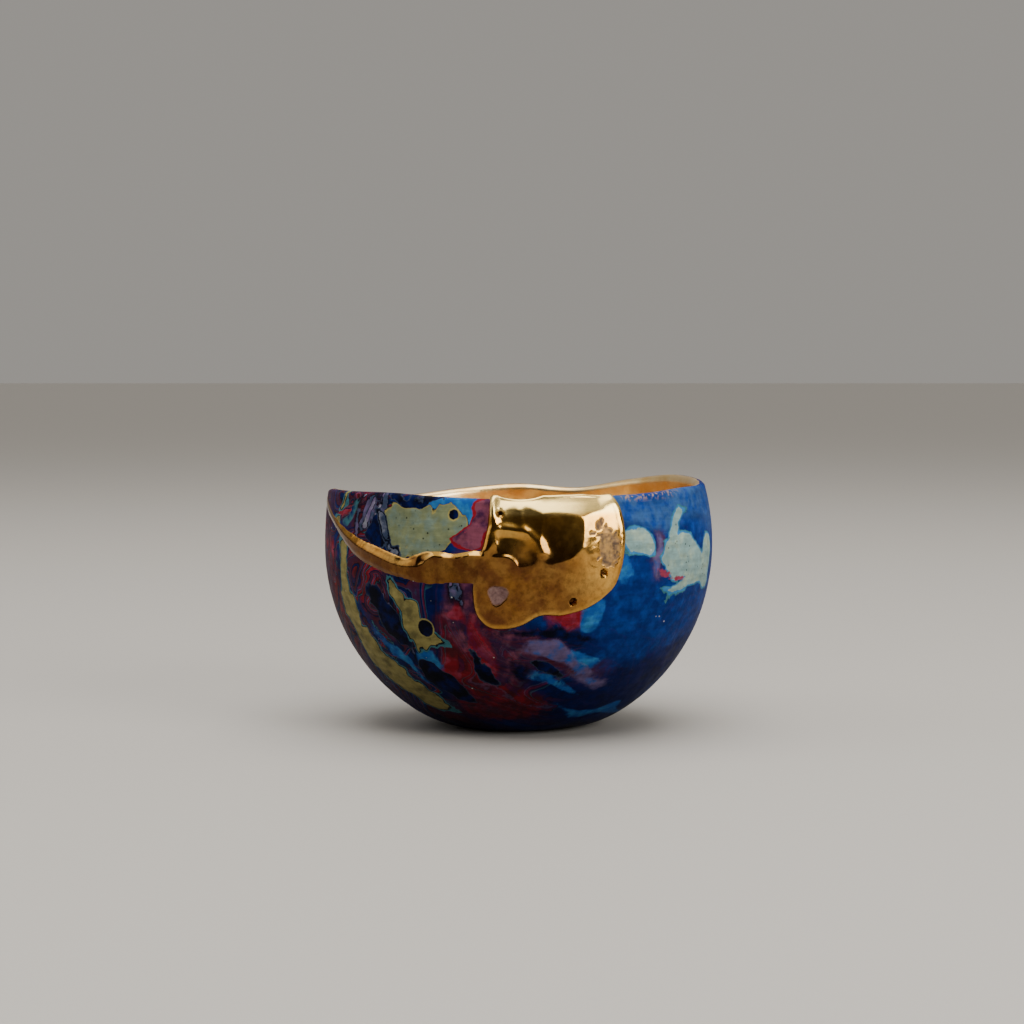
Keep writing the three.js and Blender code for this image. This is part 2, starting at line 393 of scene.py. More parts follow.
# Pools of each coat, as (azimuth, height, width, length, turn) in degrees and millimetres, turned clockwise
pools = dict(
    calm=[(50, 26, 64, 46, 0)],
    # painted highlight: the lighter band along the top on the right
    dusty=[(46, 42, 50, 7, 0)],
    deep=[(26, 7, 60, 14, -8), (8, 19, 24, 6, 8), (-35, 24, 17, 26, -24), (-25, 28.5, 12, 8, -10)],
    plum=[(-15, 26, 7, 15, -8), (-46, 27, 8, 17, -10), (-48, 40, 12, 8, 20), (-79, 27, 12, 40, -4),
          (15, 15, 18, 6, 20), (42.2, 34.5, 3, 9, 6)],
    embers=[(-9, 15, 15, 20, -10), (-17.5, 20.5, 7, 8, 0), (-51, 31, 6, 18, -8), (-56, 42, 12, 5, 0),
            (-70, 24, 4, 26, -10), (-8, 6, 15, 10, 0)],
    mauve=[(0, 16, 10, 13, 10), (-14, 22, 9, 12, -20), (3.4, 17.5, 6, 9, -16)],
    crimson=[(-9.2, 16.5, 4.8, 13, -12), (-21, 13, 5, 4, -40), (-18, 22.5, 3, 4, -30),
             (-61, 42, 11, 2.4, -22), (-73, 34.5, 6, 2.4, 0), (-84, 22, 3, 28, -6),
             (-46, 29, 3, 9, -10), (14.8, 22.4, 7, 4, 8)],
    slate=[(-42.5, 39, 4.2, 10, 26), (-38.2, 35, 2.2, 7, -26), (-48, 40.6, 3.6, 8, 34),
           (-44.5, 34.8, 3.6, 4, 10), (-53, 38, 1.6, 8, -20), (-39.5, 21, 1.8, 18, -25),
           (-17.5, 27, 3, 8, -14)],
    teal=[(-57.5, 40.3, 4.6, 1.6, -24)],
    azure=[(-18.5, 42.6, 18, 3.4, 0), (-13, 40.4, 6, 5, 0), (-29, 14.5, 5, 8, -26),
           (22.2, 22.6, 4.2, 4, 15), (30.8, 29.8, 3.4, 4.4, -10), (23.5, 15.6, 7.4, 3.8, 16),
           (14, 10.6, 10, 1.4, 18), (-36.5, 25.5, 1.6, 9, -20), (-41, 14.5, 2, 12, -40),
           (46, 3.4, 22, 2.2, 8)],
    lilac=[(41.8, 34, 2.0, 8, 2), (12, 16.4, 9, 3.4, 10), (20, 14.6, 9, 2.2, 34),
           (27, 11.6, 7, 1.4, 20)],
    feather=[(-43.5, 39.8, 1.2, 7.5, 25), (-41.6, 36.4, 1.0, 6, -18), (-39.6, 35.9, 0.8, 6, -28),
             (-37.8, 35.2, 0.8, 5, -36), (-40, 33.2, 4.6, 0.9, 22), (-47.6, 40.6, 1.6, 7, 30),
             (-52, 41.6, 3, 1.2, -24), (-19.6, 29, 0.8, 4.5, -10), (-16.6, 27, 0.7, 3.6, -20),
             (-7.6, 11.6, 0.7, 5, -34), (4, 19.6, 4.5, 0.6, 24)],
    night=[(13, 19.6, 15, 2.4, 6), (2.5, 12.4, 1.6, 7, -30)],
    ink=[(-31, 43.3, 12, 1.5, 0), (-45, 36.4, 4, 5, -20), (-43, 22.5, 3.4, 13, -34),
         (-26, 11, 5, 12, -38), (11, 12.6, 8, 2.2, 24), (-9.2, 13.6, 2.4, 8.5, -28)],
    straw=[(-61.5, 30.5, 4.4, 12, 2), (-61, 22, 6, 13, -14), (-53, 13, 7, 15, -36),
           (-42, 8, 6, 12, -48), (-56, 16, 7, 9, -24), (-88, 26, 1.4, 30, 0), (-66, 39, 5.6, 1.6, 40),
           (-63, 42.8, 4, 1.2, -20), (-38, 26, 2.6, 7, -22), (-33.5, 21.6, 5, 9, -26),
           (-27.5, 19, 8, 3.4, 28)],
    mint=[(34.6, 34.6, 6.2, 5.8, 0), (53.5, 39.8, 5.6, 2.4, 0), (49.8, 37.6, 3.4, 5, 14),
          (49, 34, 8, 5, 10), (58, 31.6, 16, 8, 20), (71, 31, 6, 12, 6), (59.5, 26.8, 18, 3.2, -4)],
    sage=[(-32, 38, 11.5, 9.6, 0), (-27, 35, 7, 4.6, -20), (-19.5, 38.6, 8.6, 6.6, -12)],
    curl=[(-41.6, 37.6, 2.0, 7, -20), (-38.4, 34.0, 5, 1.7, 24)],
    wine=[(-7.2, 39.4, 4.6, 11, 28), (-12.6, 35.6, 9, 5, 0)],
    rose=[(-13.4, 37.2, 2.2, 0.7, -30), (46, 30.7, 4.4, 0.8, 6), (52.8, 28.8, 5, 0.9, 38)],
    dot=[(-18.6, 40.3, 1.8, 1.8, 0), (-29, 20.5, 3.0, 3.2, 0)],
)
# How the pools are drawn out, in waves of (length, reach, seed), where the veins show, in azimuths and
# heights, and how the pools behind are thrown
marbling = dict(
    farOutside=-9.0,
    intoWall=3,
    veinsLeft=(-20, -34),
    veinsBehind=(80, 100),
    veinsLow=(24, 20),
    veinsLowLeft=(24, 12),
    veinsLowShare=0.4,
    veinsLeast=0.04,
    slow=[(24, 1.5, 1), (11, 1.3, 2), (5, 0.9, 3), (2.4, 0.4, 4), (1.2, 0.16, 5)],
    wild=[(34, 17, 11), (20, 10, 12), (11, 5, 13), (6, 2.2, 14), (3.2, 0.9, 15)],
    behind=dict(seed=27, start=95, end=262, lowest=4, highest=43, count=90, narrowest=1.6, widest=8,
                widestBrush=3.4, longest=2.6, turn=60,
                coats="plum deep mauve slate ink azure straw crimson sage embers".split()),
)


def wallPlace(azimuth, level):
    # the point at this height on the outside, and how far the wall leans back there, in radians
    line = outsideLine()
    radius = np.interp(level, line[:, 1], line[:, 0])
    nearby = np.interp(level + 0.5, line[:, 1], line[:, 0]) - np.interp(level - 0.5, line[:, 1], line[:, 0])
    a = math.radians(azimuth)
    return (radius * math.sin(a), -radius * math.cos(a), level), math.atan2(nearby, 1.0)


def drifted(points, waves):
    # pushes points about in crossing waves, each as (length, reach, seed)
    for length, reach, seed in waves:
        draw = np.random.default_rng(seed)
        shift = np.zeros(points.shape)
        for _ in range(5):
            way, push = (v / np.linalg.norm(v) for v in draw.normal(size=(2, 3)))
            wave = 2 * math.pi / (length * draw.uniform(0.7, 1.4))
            shift += push * np.sin(points @ way * wave + draw.uniform(0, 2 * math.pi))[:, None]
        points = points + shift * reach / 2.2
    return points


def poolsBehind():
    # the side that faces away has pools of the same coats, thrown by chance
    thrown = marbling["behind"]
    draw = np.random.default_rng(thrown["seed"])
    made = []
    for _ in range(thrown["count"]):
        coat = thrown["coats"][draw.integers(len(thrown["coats"]))]
        azimuth = draw.uniform(thrown["start"], thrown["end"])
        level = draw.uniform(thrown["lowest"], thrown["highest"])
        widest = thrown["widestBrush"] if coat in ("azure", "slate") else thrown["widest"]
        width = draw.uniform(thrown["narrowest"], widest)
        length = width * draw.uniform(1.0, thrown["longest"])
        made.append((coat, azimuth, level, width, length, draw.uniform(-thrown["turn"], thrown["turn"])))
    return made


def marbled(thing):
    # keeps how deep each point lies in each coat's pools, and a slow field whose level lines are the veins
    azimuth, reach, level = places(thing)
    points = roundCup(azimuth, reach, level)
    slow = drifted(points, marbling["slow"])
    depth = {coat: np.full(len(points), marbling["farOutside"]) for coat in coats}
    ahead = [(coat, *pool) for coat, group in pools.items() for pool in group]
    for coat, at, height, width, length, turn in [*poolsBehind(), *ahead]:
        centre, lean = wallPlace(at, height)
        pose = (Matrix.Rotation(math.radians(at), 3, "Z") @ Matrix.Rotation(lean, 3, "X")
                @ Matrix.Rotation(math.radians(turn), 3, "Y"))
        local = ((points if coat == "dot" else slow) - np.array(centre)) @ np.array(pose)
        size = np.array([width / 2, max(width, length) / 2 + marbling["intoWall"], length / 2])
        spread = np.linalg.norm(local / size, axis=1)
        depth[coat] = np.maximum(depth[coat], (1 - spread) * min(width, length) / 2)
    for coat, values in depth.items():
        keep(thing, coat, values)
    # the veins show on the left and behind, faintly low on the front
    wild = drifted(points, marbling["wild"])
    fromFront = np.abs((azimuth + 180) % 360 - 180)
    veined = np.maximum(fade(azimuth, *marbling["veinsLeft"]), fade(fromFront, *marbling["veinsBehind"]))
    low = fade(level, *marbling["veinsLow"]) * fade(azimuth, *marbling["veinsLowLeft"])
    low = np.maximum(marbling["veinsLowShare"] * low, marbling["veinsLeast"])
    keep(thing, "streaky", np.maximum(veined, low))
    folded = np.sin(wild @ np.array([0.05, -0.07, 0.11]))
    keep(thing, "flow", wild @ np.array([0.031, 0.012, 0.022]) + 0.4 * folded)


def coatTree():
    # one coat: its body, a line inside its edge, and a halo around it
    tree = bpy.data.node_groups.new("coat of paint", "ShaderNodeTree")
    tree.interface.new_socket("Colour", in_out="OUTPUT", socket_type="NodeSocketColor")
    given = newSockets(tree, Color="Under, Body, Second, Line, Halo",
                       Float="Depth, Mottle, Soft, Line Width, Halo Width")
    halo = ranged(tree, given["Depth"], calc(tree, "MULTIPLY", given["Halo Width"], -1.0),
                  calc(tree, "MULTIPLY_ADD", given["Halo Width"], -1.0, 0.06))
    halo = calc(tree, "MULTIPLY", halo, calc(tree, "GREATER_THAN", given["Halo Width"], 0.01))
    colour = mixed(tree, halo, given["Under"], given["Halo"])
    lined = ranged(tree, given["Depth"], given["Line Width"], calc(tree, "ADD", given["Line Width"], 0.08))
    body = mixed(tree, given["Mottle"], given["Body"], given["Second"])
    over = mixed(tree, lined, given["Line"], body)
    inPool = ranged(tree, given["Depth"], calc(tree, "MULTIPLY", given["Soft"], -0.5),
                    calc(tree, "MULTIPLY", given["Soft"], 0.5))
    output = addNode(tree, "NodeGroupOutput")
    tree.links.new(mixed(tree, inPool, colour, over), output.inputs[0])
    return tree


def marbledGlaze():
    material, tree, shader = newMaterial("marbled glaze")
    place = placeOnObject(tree)

    def fine(scale, detail, seed, roughness=0.55):
        return noise(tree, place, scale, detail, roughness, seed)

    # ground: navy and cobalt, with veins along the level lines of the slow field
    ground = ramp(tree, fine(0.09, 4.0, 3.0), [
        (0.34, paint["ink"]), (0.46, paint["navy"]), (0.6, paint["cobalt"])])["Color"]
    rough = calc(tree, "MULTIPLY_ADD", fine(0.7, 4.0, 5.0), 0.05, stored(tree, "flow"))
    bands = calc(tree, "FRACT", calc(tree, "MULTIPLY", rough, glaze["veinCount"]))
    clear = (*paint["ink"][:3], 0.0)
    veins = ramp(tree, bands, [(at, paint.get(name, clear)) for at, name in glaze["veins"]])
    streaks = calc(tree, "MULTIPLY", veins["Alpha"], stored(tree, "streaky"))

    group = coatTree()
    ragged = calc(tree, "MULTIPLY_ADD", fine(0.9, 4.0, 7.0), 0.9, -0.45)
    mottle = ranged(tree, fine(0.45, 5.0, 9.0), 0.42, 0.68)
    colour = ground
    for name, coat in coats.items():
        node = addNode(tree, "ShaderNodeGroup", node_tree=group)
        body, second = coat["body"]
        line, lineWidth = coat.get("line", (body, 0.0))
        halo, haloWidth = coat.get("halo", ("ink", 0.0))
        spread = 0.4 if name == "dot" else 1.0 + 0.6 * coat["soft"]
        plugAll(tree, node, {
            "Under": colour, "Depth": calc(tree, "MULTIPLY_ADD", ragged, spread, stored(tree, name)),
            "Mottle": mottle, "Body": paint[body], "Second": paint[second], "Soft": coat["soft"],
            "Line": paint[line], "Line Width": lineWidth, "Halo": paint[halo], "Halo Width": haloWidth})
        colour = node.outputs[0]
        if name == "crimson":
            colour = mixed(tree, streaks, colour, veins["Color"])

    # pale flecks, dark specks on the pale coats, grime, and painted shade darkening the paint towards the
    # foot
    flecks = spots(tree, place, 0.55, 0.05, 0.1, 1.0)
    fleckHere = ranged(tree, fine(0.35, 2.0, 51.0), 0.58, 0.64)
    colour = mixed(tree, calc(tree, "MULTIPLY", flecks, fleckHere), colour, paint["chalk"])
    specks = spots(tree, vectorCalc(tree, "ADD", place, (31.0, 7.0, 3.0)), 0.9, 0.1, 0.2, 0.8)
    paleHere = ranged(tree, calc(tree, "MAXIMUM", stored(tree, "mint"), stored(tree, "sage")), 0.3, 0.6)
    speckHere = calc(tree, "MULTIPLY", paleHere, ranged(tree, fine(0.5, 2.0, 53.0), 0.42, 0.54))
    colour = mixed(tree, calc(tree, "MULTIPLY", specks, speckHere), colour, paint["ink"])
    grime = ranged(tree, fine(0.8, 5.0, 61.0), 0.3, 0.7, 0.74, 1.1, "LINEAR")
    rings = noise(tree, vectorCalc(tree, "MULTIPLY", place, (0.22, 0.22, 1.6)), 0.7, 4.0, 0.6, 63.0)
    grime = calc(tree, "MULTIPLY", grime, ranged(tree, rings, 0.35, 0.65, 0.8, 1.1, "LINEAR"))
    level = addNode(tree, "ShaderNodeSeparateXYZ", place).outputs["Z"]
    paintedShade = ranged(tree, level, glaze["paintedShadeFullBelow"], glaze["paintedShadeUpTo"], glaze["paintedShadeDarkest"], 1.0, "LINEAR")
    colour = mixed(tree, 1.0, colour, calc(tree, "MULTIPLY", grime, paintedShade), "MULTIPLY")

    # bare clay where the paint is chipped
    chips = calc(tree, "MULTIPLY", stored(tree, "chipped"), ranged(tree, fine(1.6, 3.0, 65.0), 0.52, 0.58))
    colour = mixed(tree, chips, colour, paint["clay"])

    # gilding inside, up to the middle of the lip
    uneven = calc(tree, "MULTIPLY_ADD", fine(0.7, 3.0, 71.0), 0.8, -0.4)
    gilt = ranged(tree, calc(tree, "ADD", stored(tree, "inward"), uneven), 0.0, 0.12)
    tone = ramp(tree, fine(0.25, 4.0, 73.0, 0.6), [
        (0.35, gold["liningDeep"]), (0.65, gold["liningBright"])])["Color"]
    satin = ranged(tree, fine(0.5, 4.0, 75.0, 0.6), 0.3, 0.7, *glaze["roughness"], "LINEAR")
    plugAll(tree, shader, {
        "Base Color": mixed(tree, gilt, colour, tone), "Metallic": gilt,
        "Specular IOR Level": glaze["shine"],
        "Roughness": ranged(tree, gilt, 0.0, 1.0, satin, gold["liningRoughness"], "LINEAR")})
    addBump(tree, shader, 0.35, 0.12, fine(2.2, 5.0, 77.0, 0.6))
    return material


def burnishedGold():
    material, tree, shader = newMaterial("burnished gold")
    place = placeOnObject(tree)

    def cloudy(scale, detail, seed, roughness=0.6):
        return noise(tree, place, scale, detail, roughness, seed)

    def toned(cloud, start, under, end, over):
        return ramp(tree, cloud, [(start, gold[under]), (end, gold[over])])["Color"]

    # painted shade: deeper, darker gold low down and on the seam, under a mottled film that is heavier
    # there; a painted highlight, pale, at the lip; dark in the pits, and painted shade on the seam's lower
    # face
    tone = toned(cloudy(0.16, 3.0, 1.0, 0.55), 0.3, "deep", 0.7, "bright")
    paintedShadeAmber = stored(tree, "paintedShadeAmber")
    blotch = ranged(tree, cloudy(0.34, 4.0, 15.0), 0.36, 0.64, 0.8, 1.0)
    film = ranged(tree, cloudy(1.1, 6.0, 13.0, 0.68), 0.42, 0.68)
    film = calc(tree, "MULTIPLY", film, calc(tree, "MULTIPLY_ADD", paintedShadeAmber, 0.4, 0.16))
    for factor, over in ((calc(tree, "MULTIPLY", blotch, paintedShadeAmber), "paintedShadeAmber"), (film, "umber"),
                         (stored(tree, "paintedHighlight"), "paintedHighlight"), (stored(tree, "pitsAndPaintedShade"), "pitsAndPaintedShade")):
        tone = mixed(tree, factor, tone, gold[over])

    # scuffed patch and bare spot
    bare = stored(tree, "bare")
    scuff = calc(tree, "MULTIPLY_ADD", ranged(tree, cloudy(0.8, 4.0, 3.0), 0.38, 0.62), 0.5, 0.5)
    scuffed = calc(tree, "MULTIPLY", stored(tree, "worn"), scuff)
    clay = toned(cloudy(0.9, 3.0, 5.0), 0.35, "bareDark", 0.65, "bareLight")
    brown = toned(cloudy(1.6, 4.0, 7.0), 0.35, "scuffDark", 0.65, "scuffLight")
    unscuffed = ranged(tree, scuffed, 0.0, 1.0, 1.0, 0.15)
    metal = calc(tree, "MULTIPLY", calc(tree, "SUBTRACT", 1.0, bare), unscuffed)
    gloss = ranged(tree, cloudy(0.4, 4.0, 9.0), 0.3, 0.75, *gold["mendRoughness"], "LINEAR")
    dull = calc(tree, "MAXIMUM", calc(tree, "MULTIPLY", scuffed, 0.5), calc(tree, "MULTIPLY", bare, 0.6))
    dull = calc(tree, "MULTIPLY_ADD", stored(tree, "matt"), 0.25, dull)
    plugAll(tree, shader, {"Base Color": mixed(tree, bare, mixed(tree, scuffed, tone, brown), clay),
                           "Metallic": metal, "Roughness": calc(tree, "ADD", gloss, dull)})
    addBump(tree, shader, 0.12, 0.1, cloudy(1.0, 4.0, 11.0, 0.55))
    return material


# The bowl, turned by Geometry Nodes from its section and then formed by hand
bowl = dict(turns=330, steps=250, wobble=0.05, wobbleSize=7.0, crinkle=0.22, crinkleSize=2.6, seed=4.0,
            liningPastCrown=8)


def guideCurves():
    # two lines in one curve: the section, and the lip's sway as a ring so wide that its length is its angle
    curve = bpy.data.curves.new("bowl guides", "CURVE")
    curve.dimensions = "3D"
    section = wholeSection()
    azimuth = np.linspace(-180, 180, 721)
    a = np.radians(azimuth)
    ring = np.column_stack([np.sin(a), -np.cos(a), swayAt(azimuth) * mm])
    profile = np.column_stack([section[:, 0] * mm, np.zeros(len(section)), section[:, 1] * mm])
    for line in (profile, ring):
        spline = curve.splines.new("POLY")
        spline.points.add(len(line) - 1)
        spline.points.foreach_set("co", np.column_stack([line, np.ones(len(line))]).ravel())
    return newObject("bowl guides", curve)


def turnedBowlTree():
    tree = bpy.data.node_groups.new("turned bowl", "GeometryNodeTree")
    tree.interface.new_socket("Geometry", in_out="OUTPUT", socket_type="NodeSocketGeometry")
    given = newSockets(tree, Object="Guides", Material="Material", Int="Turns, Steps", Float=(
        "Belly Height, Lip Above Belly, Blend Height, Wall From, Lean, Lean Azimuth, Lining From, "
        "Wobble, Wobble Size, Crinkle, Crinkle Size, Seed"))

    def worked(operation, *values, clamp=False):
        return calc(tree, operation, *values, clamp=clamp)

    def times(first, *others):
        for other in others:
            first = worked("MULTIPLY", first, other)
        return first

    def share(height, start, length):
        # how much of the length the height is over the start
        return worked("DIVIDE", worked("MAXIMUM", worked("SUBTRACT", height, start), 0.0), length)

    # a flat sheet whose one side runs round the bowl and whose other runs along the section
    across, down = worked("ADD", given["Turns"], 1), worked("ADD", given["Steps"], 1)
    sheet = addNode(tree, "GeometryNodeMeshGrid", 1.0, 1.0, across, down)
    spot = addNode(tree, "ShaderNodeSeparateXYZ", addNode(tree, "GeometryNodeInputPosition").outputs[0])
    turn = worked("ADD", spot.outputs["X"], 0.5, clamp=True)
    station = worked("ADD", spot.outputs["Y"], 0.5, clamp=True)
    guides = addNode(tree, "GeometryNodeObjectInfo", given["Guides"]).outputs["Geometry"]

    def alongGuide(index, factor):
        sample = addNode(tree, "GeometryNodeSampleCurve", mode="FACTOR", use_all_curves=False)
        plugAll(tree, sample, {"Curves": guides, "Factor": factor, "Curve Index": index})
        return addNode(tree, "ShaderNodeSeparateXYZ", sample.outputs["Position"]).outputs

    profile = alongGuide(0, station)
    radius, height = profile["X"], profile["Z"]
    sway = alongGuide(1, turn)["Z"]
    lip = worked("ADD", given["Belly Height"], given["Lip Above Belly"])
    raised = share(height, given["Blend Height"], worked("SUBTRACT", lip, given["Blend Height"]))
    above = share(height, given["Belly Height"], given["Lip Above Belly"])
    wall = ranged(tree, radius, 0.0, given["Wall From"])
    angle = times(worked("SUBTRACT", turn, 0.5), 2 * math.pi)
    fromLean = worked("SUBTRACT", angle, given["Lean Azimuth"])
    facing = worked("MULTIPLY_ADD", worked("COSINE", fromLean), 0.5, 0.5)
    reach = worked("ADD", radius, times(times(given["Lean"], facing), times(above, above, wall)))
    level = worked("ADD", height, times(sway, times(raised, raised, wall)))
    formed = addNode(tree, "ShaderNodeCombineXYZ", times(reach, worked("SINE", angle)),
                     times(reach, times(worked("COSINE", angle), -1.0)), level)
    store = addNode(tree, "GeometryNodeStoreNamedAttribute", sheet.outputs[0], data_type="FLOAT",
                    domain="POINT")
    plugAll(tree, store, {"Name": "station", "Value": station})
    rolledUp = addNode(tree, "GeometryNodeSetPosition", store.outputs[0], None, formed.outputs[0])
    closed = addNode(tree, "GeometryNodeMergeByDistance", rolledUp.outputs[0])
    plug(tree, closed.inputs["Distance"], 0.001 * mm)

    # hand marks outside, crinkled leaf inside
    here = addNode(tree, "GeometryNodeInputPosition").outputs[0]
    station = addNode(tree, "GeometryNodeInputNamedAttribute", data_type="FLOAT")
    plug(tree, station.inputs["Name"], "station")
    liningTo = worked("ADD", given["Lining From"], 0.02)
    lining = ranged(tree, station.outputs["Attribute"], given["Lining From"], liningTo)
    pressed = noise(tree, here, worked("DIVIDE", 1.0, given["Wobble Size"]), 2.0, 0.5, given["Seed"])
    wobble = times(worked("SUBTRACT", pressed, 0.5), times(given["Wobble"], 2.0))
    folds = noise(tree, here, worked("DIVIDE", 1.0, given["Crinkle Size"]), 2.0, 0.55, given["Seed"])
    ridged = worked("SUBTRACT", 0.5, worked("ABSOLUTE", times(worked("SUBTRACT", folds, 0.5), 4.0)))
    crinkle = times(ridged, given["Crinkle"], lining)
    up = addNode(tree, "ShaderNodeSeparateXYZ", here).outputs["Z"]
    aboveFoot = ranged(tree, up, 0.0, given["Blend Height"])
    normal = addNode(tree, "GeometryNodeInputNormal").outputs[0]
    shift = vectorCalc(tree, "SCALE", normal, times(worked("ADD", wobble, crinkle), aboveFoot))
    handled = addNode(tree, "GeometryNodeSetPosition", closed.outputs[0], None, None, shift)
    plain = addNode(tree, "GeometryNodeRemoveAttribute", handled.outputs[0], "station")
    shaded = addNode(tree, "GeometryNodeSetShadeSmooth", plain.outputs[0])
    real = addNode(tree, "GeometryNodeRealizeInstances", shaded.outputs[0])
    finished = addNode(tree, "GeometryNodeSetMaterial", real.outputs[0])
    plug(tree, finished.inputs["Material"], given["Material"])
    output = addNode(tree, "NodeGroupOutput")
    tree.links.new(finished.outputs[0], output.inputs[0])
    return tree


def baked(thing):
    # the object's modifiers made part of a plain mesh
    layer = bpy.context.evaluated_depsgraph_get()
    mesh = bpy.data.meshes.new_from_object(
        thing.evaluated_get(layer), preserve_all_data_layers=True, depsgraph=layer)
    thing.modifiers.clear()
    old = thing.data
    thing.data = mesh
    bpy.data.meshes.remove(old)


def makeBowl(name, material):
    guides = guideCurves()
    thing = newMesh(name, [], [])
    pastCrown = np.argmax(wholeSection()[:, 1]) + bowl["liningPastCrown"]
    modifier = thing.modifiers.new("turned bowl", "NODES")
    modifier.node_group = turnedBowlTree()
    values = {
        "Guides": guides, "Material": material, "Turns": bowl["turns"], "Steps": bowl["steps"],
        "Belly Height": cup["bellyHeight"] * mm, "Lip Above Belly": cup["lipAboveBelly"] * mm,
        "Blend Height": cup["footBlendHeight"] * mm, "Wall From": cup["wallFrom"] * cup["bellyRadius"] * mm,
        "Lean": cup["lean"] * mm, "Lean Azimuth": math.radians(cup["leanAzimuth"]),
        "Lining From": pastCrown / cup["sectionPoints"], "Wobble": bowl["wobble"] * mm,
        "Wobble Size": bowl["wobbleSize"] * mm, "Crinkle": bowl["crinkle"] * mm,
        "Crinkle Size": bowl["crinkleSize"] * mm, "Seed": bowl["seed"],
    }
    for item in modifier.node_group.interface.items_tree:
        if item.in_out == "INPUT":
            modifier[item.identifier] = values[item.name]
    baked(thing)
    bpy.data.objects.remove(guides)
    return thing


# The mend in millimetres: its thickness and bed, how it rolls over at the lip and leans in below it between
# two azimuths, and its outlines as in the frame, (azimuth, share of the lip's height) and the seam's width
mend = dict(
    proud=0.5,
    bed=0.5,
    lap=0.9,
    crackWidth=1.0,
    edgeRound=0.9,
    sunk=(0.4, 0.8),
    joinBlend=0.12,
    stationsOverLip=7,
    inside=0.04,
    lipRoll=2.0,
    rollReach=0.98,
    rollDepth=0.95,
    lipBand=3.3,
    lipSlope=0.54,
    bandBlend=0.15,
    bandFrom=(-8, -5),
    bandTo=(27, 23),
    cutWider=0.3,
    overLip=1.3,
    patch=[(-8.2, 1.08), (-8.4, 0.97), (-9, 0.87), (-10.8, 0.78), (-12.6, 0.68), (-13.1, 0.61), (-12, 0.53),
           (-8.8, 0.487), (-4, 0.48), (1, 0.497), (6, 0.535), (12, 0.535), (19, 0.558), (24.2, 0.6),
           (28, 0.655), (30.2, 0.75), (30.9, 0.85), (30.3, 0.94), (28.4, 1.02), (27.6, 1.08)],
    crack=[(-4, 0.725, 5.6), (-12, 0.727, 5.6), (-19, 0.722, 5), (-25, 0.72, 5.9), (-29.5, 0.715, 4.9),
           (-33.5, 0.714, 3.5), (-38, 0.727, 3.7), (-45, 0.753, 3.8), (-51, 0.777, 3.5), (-57, 0.81, 2.8),
           (-63, 0.848, 2), (-69, 0.886, 1.55), (-77, 0.926, 1.45), (-85, 0.962, 1.45), (-91, 0.99, 1.5),
           (-96, 1.04, 1.6), (-100, 1.12, 1.7)],
)


def flat(points):
    # (azimuth, height share) laid out flat, in millimetres
    points = np.asarray(points, float)
    laid = points.copy()
    laid[:, 0] = np.radians(points[:, 0]) * cup["bellyRadius"]
    laid[:, 1] = points[:, 1] * lipHeight
    return laid


def throughPoints(points, closed, steps=16):
    # a centripetal Catmull-Rom line, as in the frame
    points = np.asarray(points, float)
    count = len(points)
    line = []

    def between(t, a, b, start, end):
        return ((end - t) * a + (t - start) * b) / (end - start)

    for k in range(count if closed else count - 1):
        if closed:
            p = [points[(k + j) % count] for j in (-1, 0, 1, 2)]
        else:
            before = 2 * points[0] - points[1] if k == 0 else points[k - 1]
            after = 2 * points[-1] - points[-2] if k == count - 2 else points[k + 2]
            p = [before, points[k], points[k + 1], after]
        knot = np.concatenate([[0], np.cumsum([np.linalg.norm(p[j + 1] - p[j]) ** 0.5 for j in range(3)])])
        for t in np.linspace(knot[1], knot[2], steps, endpoint=False):
            a = [between(t, p[j], p[j + 1], knot[j], knot[j + 1]) for j in range(3)]
            b = [between(t, a[j], a[j + 1], knot[j], knot[j + 2]) for j in range(2)]
            line.append(between(t, b[0], b[1], knot[1], knot[2]))
    if not closed:
        line.append(points[-1])
    return np.array(line)


patchLine = throughPoints(flat(mend["patch"]), True)
crackLine = throughPoints(flat(mend["crack"]), False)


def sideways(line, closed):
    along = np.roll(line, -1, axis=0) - np.roll(line, 1, axis=0)
    if not closed:
        along[0], along[-1] = line[1] - line[0], line[-1] - line[-2]
    along = along[:, :2] / np.linalg.norm(along[:, :2], axis=1)[:, None]
    return np.column_stack([along[:, 1], -along[:, 0]])


def patchGrown(grow):
    return patchLine + sideways(patchLine, True) * grow


def crackGrown(grow, width=None):
    half = (crackLine[:, 2] if width is None else width) / 2 + grow
    across = sideways(crackLine, False) * np.asarray(half).reshape(-1, 1)
    return np.vstack([crackLine[:, :2] + across, (crackLine[:, :2] - across)[::-1]])


def onWall(x, z, radius):
    a = x / cup["bellyRadius"]
    return np.column_stack([radius * np.sin(a), -radius * np.cos(a), z]) * mm


def throughWall(name, outline, near=14, far=100):
    # all that lies behind an outline on the wall, as a tool to carve with
    outline = np.asarray(outline)
    count = len(outline)
    points = np.vstack([onWall(*outline.T, radius) for radius in (near, far)])
    sides = [(k, (k + 1) % count, count + (k + 1) % count, count + k) for k in range(count)]
    tool = newMesh(name, points, [*sides, list(range(count))[::-1], list(range(count, 2 * count))])
    facingOut(tool)
    return tool


def facingOut(thing):
    form = bmesh.new()
    form.from_mesh(thing.data)
    bmesh.ops.recalc_face_normals(form, faces=form.faces)
    form.to_mesh(thing.data)
    form.free()


def carved(piece, *steps):
    # joins and cuts with other solids, one after the other
    for operation, tool in steps:
        modifier = piece.modifiers.new(operation.lower(), "BOOLEAN")
        modifier.operation = operation
        modifier.solver = "MANIFOLD"
        modifier.object = tool
        baked(piece)


